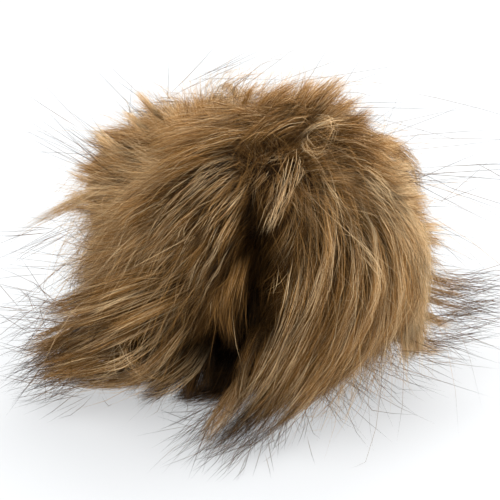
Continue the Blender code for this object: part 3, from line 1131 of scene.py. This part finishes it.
@dataclass
class BigLocks:
    """The big locks, each a bundle of clumps along its route."""

    form: BallForm
    steps: int = 14
    hairs: int = 40
    narrow_end: float = 0.38
    splayed_end: float = 0.70
    strand_width: float = 0.34
    strand_hairs: int = 3
    thin_strand: float = 4.0
    latest_start: float = 0.45
    clump_share: Span = (0.5, 0.75)
    clump_width: Span = (2.2, 4.4)
    tone_spread: float = 0.10
    dark_span: Span = (0.78, 1.0)
    tousled_loft: float = 2.4
    loft: float = 0.7
    seed: int = 23

    def clumps(self) -> Clumps:
        """Clumps of all big locks.

        Returns:
            The clumps.
        """
        rng = np.random.default_rng(self.seed)
        groups = None
        for lock in all_locks():
            bundle = self.bundle(lock, rng)
            groups = bundle if groups is None else groups.joined(bundle)
        return groups

    def bundle(self, lock: Lock, rng: np.random.Generator) -> Clumps:
        """Clumps of one lock, spread over its section and along its route.

        Args:
            lock: the lock.
            rng: source of variety.

        Returns:
            The lock's clumps.
        """
        route = resample(smooth_route(self.form.points(lock.route), 8), 40)[None]
        out, side = square_frames(route, self.form.centre)
        count = lock.clumps
        row = np.zeros(count, dtype=int)
        start = rng.uniform(0.0, self.latest_start, count)
        start[: count // 3] = 0.0
        angle = rng.uniform(0, FULL_TURN, count)
        radius = np.sqrt(rng.uniform(0, 1, count))
        cut = 0.18 * radius ** 2
        end = np.minimum(1.0, start + rng.uniform(*self.clump_share, count)) - cut * rng.uniform(0, 1, count)
        end[count // 2:] = np.maximum(end[count // 2:], 1.0 - 0.15 * rng.uniform(0, 1, count - count // 2))
        u = np.linspace(0, 1, self.steps)[None]
        if lock.make is Make.STRAND:
            reached = 0.15 if lock.width < self.thin_strand else 0.35
            start, end = 2.2 * reached * start, 1.0 - reached * radius
        t = start[:, None] + (end - start)[:, None] * u
        least = self.splayed_end if lock.ends is Ends.BLACK else self.narrow_end
        profile = least + (1.0 - least) * np.sin(math.pi * np.clip(0.2 + 0.8 * t, 0, 1)) ** 0.8
        half = 0.5 * lock.width * MM * profile
        path = pick(route, row, t)
        sideways, outward = unit(pick(side, row, t)), unit(pick(out, row, t))
        path = path + sideways * (np.cos(angle) * radius)[:, None, None] * half[..., None]
        path = path + outward * (0.5 * np.sin(angle) * radius)[:, None, None] * half[..., None]
        # Clumps on a lock's outer side are lighter and inner ones darker, as painted light and shade of the
        # lock's depth.
        tone = lock.shade.value + rng.normal(0, self.tone_spread, count) + 0.10 * np.sin(angle) * radius
        width = rng.uniform(*self.clump_width, count) * MM * (0.7 + lock.width / 40.0)
        hairs = rng.integers(int(self.hairs * 0.7), int(self.hairs * 1.3), count)
        if lock.make is Make.STRAND:
            width, hairs = self.strand_width * width, np.full(count, self.strand_hairs)
        dark = lock.ends.value * ease(end, *self.dark_span)
        loft = np.full(count, (self.tousled_loft if lock.make is Make.TOUSLED else self.loft) * MM)
        tip_share = rng.uniform(*lock.make.value, count)
        return Clumps(path, width, tone, dark, hairs, tip_share, loft, np.full(count, lock.pale))


@dataclass
class TipFans:
    """Dark ends that splay out of the locks' tips; sizes in mm."""

    form: BallForm
    knots: Tuple[float, ...] = (0.0, 0.3, 0.62, 1.0)
    dark_from: float = 0.55
    thickness: float = 0.16
    bend: float = 0.08
    root_back: Span = (0.1, 0.9)
    reach_spread: Span = (0.55, 1.25)
    reach_more: float = 0.4
    floor_lie: Span = (0.15, 1.2)
    thickness_spread: Span = (0.6, 1.2)
    tone: Span = (0.12, 0.40)
    dark_end: Span = (0.85, 1.0)
    seed: int = 41

    def hairs(self) -> Hairs:
        """Grow every fan.

        Returns:
            The hairs of all fans.
        """
        rng = np.random.default_rng(self.seed)
        paths = []
        for fan in all_fans():
            start, end = self.form.points((fan.start, fan.end))
            heading = end - start
            length = np.linalg.norm(heading)
            count = fan.count
            roots = start + rng.normal(size=(count, 3)) * 0.5 * fan.patch * MM
            roots = roots - heading * rng.uniform(*self.root_back, (count, 1))
            way = unit(heading / length + fan.spread * rng.normal(size=(count, 3)))
            reach = length * rng.uniform(*self.reach_spread, (count, 1)) + self.reach_more * length
            u = np.array(self.knots)[None]
            turn = unit(rng.normal(size=(count, 1, 3)))
            path = roots[:, None] + way[:, None] * (reach * u)[..., None]
            path = path + turn * (self.bend * reach * rng.uniform(0, 1.6, (count, 1)) * u ** 2)[..., None]
            paths.append(path)
        path = np.concatenate(paths)
        count = len(path)
        path = self.form.kept_in(above_floor(path, rng.uniform(*self.floor_lie, count) * MM))
        u = np.array(self.knots)[None]
        thick = 0.5 * self.thickness * MM * rng.uniform(*self.thickness_spread, count)[:, None]
        profile = taper(u, ROUND_TAPER)
        along = self.dark_from + (1.0 - self.dark_from) * u[0]
        tone = rng.uniform(*self.tone, count)
        dark_end = rng.uniform(*self.dark_end, count)
        return Hairs(path, thick * profile, tone, dark_end, along)


@dataclass
class LooseHairs:
    """Single hairs that stand off the coat: soft fuzz, guard hairs or flyaways; sizes in mm."""

    form: BallForm
    groom: Groom
    count: int
    knots: Tuple[float, ...]
    length: Span
    root_share: float
    outward: float
    wander: float
    droop: float
    curl: float
    thickness: float
    tone: Span
    dark_end: Span
    seed: int
    lowest: float = -0.75
    around: Tuple[Place, ...] = ()
    near: float = 22.0
    jitter: float = 0.08
    most_gap: Span = (0.2, 0.3)
    outward_spread: Span = (0.3, 1.7)
    curl_spread: Span = (0.2, 1.0)
    floor_lie: Span = (0.2, 1.2)
    thickness_spread: Span = (0.7, 1.2)
    # How much tips near the band round the parting are darkened, as painted shade.
    painted_shade_tone: float = 0.5

    def hairs(self) -> Hairs:
        """Grow the hairs from an uneven spread over the ball.

        Returns:
            The hairs.
        """
        rng = np.random.default_rng(self.seed)
        ways = even_ways(self.count, self.jitter, rng)
        ways = ways[ways[:, 2] > self.lowest]
        ways = ways[self.form.parting_gap(self.form.centre + ways) < self.most_gap[0]]
        if self.around:
            line = self.form.points(self.around)
            share = self.form.closeness(self.form.centre + ways, line, self.near * MM)
            ways = ways[rng.uniform(0, 1, len(ways)) < share]
        count = len(ways)
        depth = self.form.press(self.form.centre + ways)
        root = self.form.centre + ways * (self.form.reach(ways) * self.root_share - depth)[:, None]
        _, flow = self.groom.lie(ways, unit(rng.normal(size=(count, 3))))
        heading = unit(flow + self.outward * ways * rng.uniform(*self.outward_spread, (count, 1))
                       + self.wander * rng.normal(size=(count, 3)))
        length = rng.uniform(*self.length, count)[:, None] * MM
        u = np.array(self.knots)[None]
        down = np.array((0.0, 0.0, -1.0))
        path = root[:, None] + heading[:, None] * (length * u)[..., None]
        path = path + 0.5 * (down - ways[:, None]) * (self.droop * length * u ** 2)[..., None]
        bend = unit(rng.normal(size=(count, 1, 3)))
        path = moved(path, bend, self.curl * length * u ** 2 * rng.uniform(*self.curl_spread, (count, 1)))
        path = self.form.kept_in(above_floor(path, rng.uniform(*self.floor_lie, count) * MM))
        thick = 0.5 * self.thickness * MM * rng.uniform(*self.thickness_spread, count)[:, None]
        profile = taper(u, ROUND_TAPER)
        # Tips near the band round the parting are darkened as painted shade.
        tone = rng.uniform(*self.tone, count) * (1.0 - self.painted_shade_tone * self.form.painted_shade_share(path[:, -1]))
        hairs = Hairs(path, thick * profile, tone, rng.uniform(*self.dark_end, count), u[0])
        return hairs.part(self.form.parting_gap(path[:, -1]) < self.most_gap[1])


def shader_node(nodes: bpy.types.Nodes, kind: str, values: Dict[str, object]) -> bpy.types.Node:
    """A new shader node with some of its inputs set.

    Args:
        nodes: the tree's nodes.
        kind: the node's type name.
        values: input values by socket name.

    Returns:
        The new node.
    """
    node = nodes.new(kind)
    if kind == "ShaderNodeMix":
        node.data_type = "RGBA"
    for key, value in values.items():
        node.inputs[key].default_value = value
    return node


def plain_material(name: str, roughness: float,
                   specular: float) -> Tuple[bpy.types.Material, bpy.types.Node]:
    """A new material with the two plain values of its shader set.

    Args:
        name: the material's name.
        roughness: the shader's roughness.
        specular: the shader's specular level.

    Returns:
        The material and its shader node.
    """
    material = bpy.data.materials.new(name)
    material.use_nodes = True
    shader = material.node_tree.nodes["Principled BSDF"]
    shader.inputs["Roughness"].default_value = roughness
    shader.inputs["Specular IOR Level"].default_value = specular
    return material, shader


def step_range(nodes: bpy.types.Nodes, low: float, high: float, floor: float = 0.0) -> bpy.types.Node:
    """A smooth step node.

    Args:
        nodes: the tree's nodes.
        low: where the result is its floor.
        high: where the result is 1.
        floor: the least result.

    Returns:
        The new node.
    """
    values = {"From Min": low, "From Max": high, "To Min": floor, "To Max": 1.0}
    node = shader_node(nodes, "ShaderNodeMapRange", values)
    node.interpolation_type = "SMOOTHSTEP"
    return node


def fur_tint_group() -> bpy.types.ShaderNodeTree:
    """The colour of a hair from its tone, its place along the hair and its dark end.

    Returns:
        A node group whose colours are its own inputs.
    """
    group = bpy.data.node_groups.new("fur_tint", "ShaderNodeTree")
    sockets = group.interface
    for name in ("Along", "Tone", "Dark End", "Root Shade"):
        sockets.new_socket(name=name, in_out="INPUT", socket_type="NodeSocketFloat")
    for name in ("Deep", "Brown", "Gold", "Pale", "End"):
        sockets.new_socket(name=name, in_out="INPUT", socket_type="NodeSocketColor")
    sockets.new_socket(name="Color", in_out="OUTPUT", socket_type="NodeSocketColor")
    nodes, links = group.nodes, group.links
    given = nodes.new("NodeGroupInput")
    result = nodes.new("NodeGroupOutput")
    colour = given.outputs["Deep"]
    for low, high, name in ((0.0, 0.3, "Brown"), (0.3, 0.65, "Gold"), (0.65, 1.0, "Pale")):
        step = step_range(nodes, low, high)
        step.interpolation_type = "LINEAR"
        links.new(given.outputs["Tone"], step.inputs["Value"])
        mix = shader_node(nodes, "ShaderNodeMix", {})
        links.new(step.outputs["Result"], mix.inputs["Factor"])
        links.new(colour, mix.inputs["A"])
        links.new(given.outputs[name], mix.inputs["B"])
        colour = mix.outputs["Result"]
    # Darker towards the root: partly the hair's own darker base and partly painted shade of the pile's
    # depth.
    rise = step_range(nodes, 0.0, 0.62)
    links.new(given.outputs["Along"], rise.inputs["Value"])
    links.new(given.outputs["Root Shade"], rise.inputs["To Min"])
    shade = nodes.new("ShaderNodeVectorMath")
    shade.operation = "SCALE"
    links.new(colour, shade.inputs[0])
    links.new(rise.outputs["Result"], shade.inputs["Scale"])
    end = step_range(nodes, 0.68, 0.90)
    links.new(given.outputs["Along"], end.inputs["Value"])
    amount = nodes.new("ShaderNodeMath")
    amount.operation = "MULTIPLY"
    links.new(end.outputs["Result"], amount.inputs[0])
    links.new(given.outputs["Dark End"], amount.inputs[1])
    final = shader_node(nodes, "ShaderNodeMix", {})
    links.new(amount.outputs["Value"], final.inputs["Factor"])
    links.new(shade.outputs["Vector"], final.inputs["A"])
    links.new(given.outputs["End"], final.inputs["B"])
    links.new(final.outputs["Result"], result.inputs["Color"])
    return group


@dataclass(frozen=True)
class FurFinish:
    """The finish of one kind of hair: brown root, darkened further as painted shade, golden length, dark end
    on some.
    """

    name: str = "fur_hair"
    deep: Triple = (0.017, 0.0080, 0.0016)
    brown: Triple = (0.190, 0.089, 0.0215)
    gold: Triple = (0.500, 0.262, 0.082)
    pale: Triple = (0.930, 0.690, 0.400)
    end: Triple = (0.012, 0.011, 0.012)
    # Share of the colour left at the root: the hair's darker base and painted shade.
    root_shade: float = 0.10
    roughness: float = 0.45
    specular: float = 0.10

    def material(self, group: bpy.types.ShaderNodeTree) -> bpy.types.Material:
        """The hair's material, which reads each hair's own values.

        Args:
            group: the shared colour group.

        Returns:
            The new material.
        """
        material, shader = plain_material(self.name, self.roughness, self.specular)
        nodes, links = material.node_tree.nodes, material.node_tree.links
        tint = nodes.new("ShaderNodeGroup")
        tint.node_tree = group
        tint.inputs["Root Shade"].default_value = self.root_shade
        for name in ("Deep", "Brown", "Gold", "Pale", "End"):
            tint.inputs[name].default_value = (*getattr(self, name.lower()), 1.0)
        for key, socket in (("along", "Along"), ("tone", "Tone"), ("dark_end", "Dark End")):
            node = nodes.new("ShaderNodeAttribute")
            node.attribute_name = key
            links.new(node.outputs["Fac"], tint.inputs[socket])
        links.new(tint.outputs["Color"], shader.inputs["Base Color"])
        return material


@dataclass(frozen=True)
class MatFinish:
    """The finish of the matted base under the hairs: mottled dark brown down."""

    name: str = "pile_mat"
    dark: Triple = (0.010, 0.0055, 0.0025)
    light: Triple = (0.060, 0.031, 0.012)
    grain: float = 900.0
    roughness: float = 0.85
    specular: float = 0.15

    def material(self) -> bpy.types.Material:
        """The base's material, with a stretched grain and a bump.

        Returns:
            The new material.
        """
        material, shader = plain_material(self.name, self.roughness, self.specular)
        nodes, links = material.node_tree.nodes, material.node_tree.links
        place = nodes.new("ShaderNodeTexCoord")
        stretch = shader_node(nodes, "ShaderNodeMapping", {"Scale": (1.0, 1.0, 0.25)})
        links.new(place.outputs["Object"], stretch.inputs["Vector"])
        noise = shader_node(nodes, "ShaderNodeTexNoise", {"Scale": self.grain, "Detail": 4.0})
        links.new(stretch.outputs["Vector"], noise.inputs["Vector"])
        mix = shader_node(nodes, "ShaderNodeMix", {"A": (*self.dark, 1.0), "B": (*self.light, 1.0)})
        links.new(noise.outputs["Fac"], mix.inputs["Factor"])
        links.new(mix.outputs["Result"], shader.inputs["Base Color"])
        bump = shader_node(nodes, "ShaderNodeBump", {"Strength": 0.6, "Distance": 0.5 * MM})
        links.new(noise.outputs["Fac"], bump.inputs["Height"])
        links.new(bump.outputs["Normal"], shader.inputs["Normal"])
        return material


@dataclass
class PileBase:
    """The dense dark mat that the hairs grow from; sizes in mm."""

    form: BallForm
    share: float = 0.76
    segments: int = 32
    rings: int = 20
    foot: float = 6.0
    parting_step: int = 4
    parting_press: float = 7.5
    parting_reach: float = 1.7
    dent_press: float = 0.8
    dent_reach: float = 1.5

    def build(self) -> bpy.types.Object:
        """Model the mat as a flattened ball with the parting and the dents pressed in.

        Returns:
            The finished object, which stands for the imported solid.
        """
        deselect_all()
        bpy.ops.mesh.primitive_uv_sphere_add(segments=self.segments, ring_count=self.rings, radius=1.0,
                                             location=(0, 0, 0))
        base = bpy.context.object
        base.name = "pile_base"
        base.data.name = "pile_base"
        bpy.ops.object.mode_set(mode="EDIT")
        bpy.ops.mesh.select_mode(type="VERT")
        bpy.ops.mesh.select_all(action="SELECT")
        bpy.ops.transform.resize(value=tuple(self.form.half * self.share), center_override=(0, 0, 0))
        bpy.ops.transform.translate(value=tuple(self.form.centre))
        bpy.ops.object.mode_set(mode="OBJECT")
        self.press_parting(base)
        self.press_dents(base)
        soft = base.modifiers.new("soft", "SUBSURF")
        soft.levels = 1
        bpy.ops.object.modifier_apply(modifier=soft.name)
        bpy.ops.object.mode_set(mode="EDIT")
        bpy.ops.mesh.select_all(action="SELECT")
        bpy.ops.mesh.bisect(plane_co=(0, 0, self.foot * MM), plane_no=(0, 0, -1), use_fill=True,
                            clear_outer=True)
        bpy.ops.object.mode_set(mode="OBJECT")
        base.data.shade_smooth()
        base.data.materials.append(MatFinish().material())
        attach(base, BODY)
        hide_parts(NODE)
        LOG.info("%s: %d faces", base.name, len(base.data.polygons))
        return base

    def press_parting(self, base: bpy.types.Object) -> None:
        """Press the parting in at points along its line.

        Args:
            base: the mat.
        """
        line = self.form.parting_line[::self.parting_step]
        rooms = self.form.parting_room[::self.parting_step]
        for point, room in zip(line, rooms):
            self.press(base, unit(point - self.form.centre), self.parting_press * MM,
                       room * self.parting_reach + self.parting_press * MM)

    def press_dents(self, base: bpy.types.Object) -> None:
        """Press each dent in.

        Args:
            base: the mat.
        """
        for dent in self.form.dents:
            way = self.form.direction(dent.middle.azimuth, dent.middle.elevation)
            self.press(base, way, dent.depth * self.dent_press * MM, dent.width * self.dent_reach * MM)

    def press(self, base: bpy.types.Object, way: Array, depth: float, reach: float) -> None:
        """Push the vertex that lies in one direction inwards, and its neighbours after it.

        Args:
            base: the mat.
            way: unit vector from the centre.
            depth: how far the vertex moves, in metres.
            reach: how far off its neighbours still follow, in metres.
        """
        bpy.ops.object.mode_set(mode="EDIT")
        bpy.ops.mesh.select_all(action="DESELECT")
        bpy.ops.object.mode_set(mode="OBJECT")
        vertices = base.data.vertices
        places = np.array([vertex.co for vertex in vertices])
        nearest = int(np.argmax(unit(places - self.form.centre) @ way))
        vertices[nearest].select = True
        bpy.ops.object.mode_set(mode="EDIT")
        bpy.ops.transform.translate(value=tuple(-depth * way), use_proportional_edit=True,
                                    proportional_edit_falloff="SMOOTH", proportional_size=reach)
        bpy.ops.object.mode_set(mode="OBJECT")


def deselect_all() -> None:
    """Clear the selection, so that an operator acts on new pieces only."""
    for item in bpy.context.selected_objects:
        item.select_set(False)


@dataclass
class Studio:
    """Floor, light and camera."""

    target: Triple = (-0.003, 0.0, 0.045)
    elevation: float = 25.0
    distance: float = 0.62
    view_width: float = 0.1667
    floor_size: float = 6.0
    floor_colour: Triple = (0.34, 0.345, 0.35)
    floor_glow: Triple = (0.470, 0.480, 0.490)
    sky: float = 0.85

    def build(self) -> None:
        """Lay the floor, hang the lights and place the camera."""
        self.floor()
        world = bpy.data.worlds.new("studio_world")
        world.use_nodes = True
        world.node_tree.nodes["Background"].inputs["Color"].default_value = (1.0, 1.0, 1.0, 1.0)
        world.node_tree.nodes["Background"].inputs["Strength"].default_value = self.sky
        bpy.context.scene.world = world
        self.area("key_light", (-0.35, -0.35, 1.0), 0.9, 7.5)
        self.area("back_light", (0.2, 0.8, 0.9), 0.8, 7.0)
        self.area("side_light", (0.80, 0.10, 0.55), 0.6, 5.4)
        self.camera()
        bpy.context.scene.view_settings.view_transform = "Standard"

    def floor(self) -> None:
        """Lay the plain pale floor, which glows a little like a light table."""
        deselect_all()
        bpy.ops.mesh.primitive_plane_add(size=self.floor_size, location=(0, 0, 0))
        floor = bpy.context.object
        floor.name = "studio_floor"
        material, shader = plain_material("studio_floor", roughness=0.9, specular=0.1)
        shader.inputs["Base Color"].default_value = (*self.floor_colour, 1.0)
        shader.inputs["Emission Color"].default_value = (*self.floor_glow, 1.0)
        shader.inputs["Emission Strength"].default_value = 1.0
        floor.data.materials.append(material)

    def camera(self) -> None:
        """Place the camera in front of the ball, looking down at it."""
        data = bpy.data.cameras.new("studio_camera")
        camera = bpy.data.objects.new("studio_camera", data)
        bpy.context.scene.collection.objects.link(camera)
        rise = math.radians(self.elevation)
        back = np.array((0.0, -math.cos(rise), math.sin(rise)))
        camera.location = np.array(self.target) + self.distance * back
        camera.rotation_euler = (math.pi / 2 - rise, 0.0, 0.0)
        data.sensor_width = 36.0
        data.lens = data.sensor_width * self.distance / self.view_width
        data.clip_start = 0.01
        bpy.context.scene.camera = camera

    def area(self, name: str, place: Triple, size: float, power: float) -> None:
        """A soft square light that looks at the ball.

        Args:
            name: the light's name.
            place: where it hangs.
            size: length of its side.
            power: watts.
        """
        data = bpy.data.lights.new(name, "AREA")
        data.size = size
        data.energy = power
        light = bpy.data.objects.new(name, data)
        light.location = place
        way = np.array(self.target) - np.array(place)
        flat = math.hypot(way[0], way[1])
        light.rotation_euler = (math.atan2(flat, -way[2]), 0.0, math.atan2(way[1], way[0]) - math.pi / 2)
        bpy.context.scene.collection.objects.link(light)


def main() -> None:
    """Build the pom pom's looks and its studio."""
    logging.basicConfig(level=logging.INFO, format="%(message)s")
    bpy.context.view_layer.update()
    low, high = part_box(NODE)
    form = BallForm(tuple(low), tuple(high))
    groom = Groom(form)
    rng = np.random.default_rng(5)
    PileBase(form).build()
    sets = {
        "coat": HairCut().fill(Coat(form, groom).clumps(), form, rng),
        "locks": HairCut(knots=(0.0, 0.32, 0.66, 1.0), root_spread=0.35, shortest=0.6,
                         stray=0.06, painted_depth_shade=0.09).fill(BigLocks(form).clumps(), form, rng),
        "ends": TipFans(form).hairs(),
        # The fuzz and rim hairs are pale: partly real pale fibres and partly painted rim light.
        "fuzz": LooseHairs(form, groom, count=13200, knots=(0.0, 0.5, 1.0), length=(9.0, 20.0),
                           root_share=0.87, outward=0.75, wander=0.45, droop=0.2, curl=0.4, thickness=0.11,
                           tone=(0.5, 1.0), dark_end=(0.0, 0.2), seed=31).hairs(),
        "rim": LooseHairs(form, groom, count=34000, knots=(0.0, 0.5, 1.0), length=(14.0, 30.0),
                          root_share=0.90, outward=0.45, wander=0.40, droop=0.3, curl=0.4, thickness=0.09,
                          tone=(0.6, 1.0), dark_end=(0.0, 0.2), seed=61, around=RIM, near=17.0).hairs(),
        "sheen": LooseHairs(form, groom, count=3400, knots=(0.0, 0.33, 0.67, 1.0), length=(20.0, 42.0),
                            root_share=0.985, outward=0.08, wander=0.2, droop=0.45, curl=0.2, thickness=0.11,
                            tone=(0.6, 1.0), dark_end=(0.0, 0.3), seed=53).hairs(),
        "guard": LooseHairs(form, groom, count=1300, knots=(0.0, 0.33, 0.67, 1.0), length=(22.0, 38.0),
                            root_share=0.82, outward=0.5, wander=0.3, droop=0.3, curl=0.3, thickness=0.12,
                            tone=(0.5, 1.0), dark_end=(0.0, 0.7), seed=37).hairs(),
        "flyaways": LooseHairs(form, groom, count=420, knots=(0.0, 0.2, 0.4, 0.6, 0.8, 1.0),
                               length=(34.0, 56.0), root_share=0.88, outward=0.7, wander=0.5, droop=0.6,
                               curl=0.7, thickness=0.14, tone=(0.3, 1.0), dark_end=(0.6, 1.0), seed=43,
                               lowest=-0.2).hairs(),
    }
    maker = HairMesh(BODY, SLOT, FurFinish().material(fur_tint_group()))
    total = sum(maker.build(label, hairs, rng) for label, hairs in sets.items())
    LOG.info("hair triangles in all: %d", total)
    Studio().build()


if __name__ == "__main__":
    main()
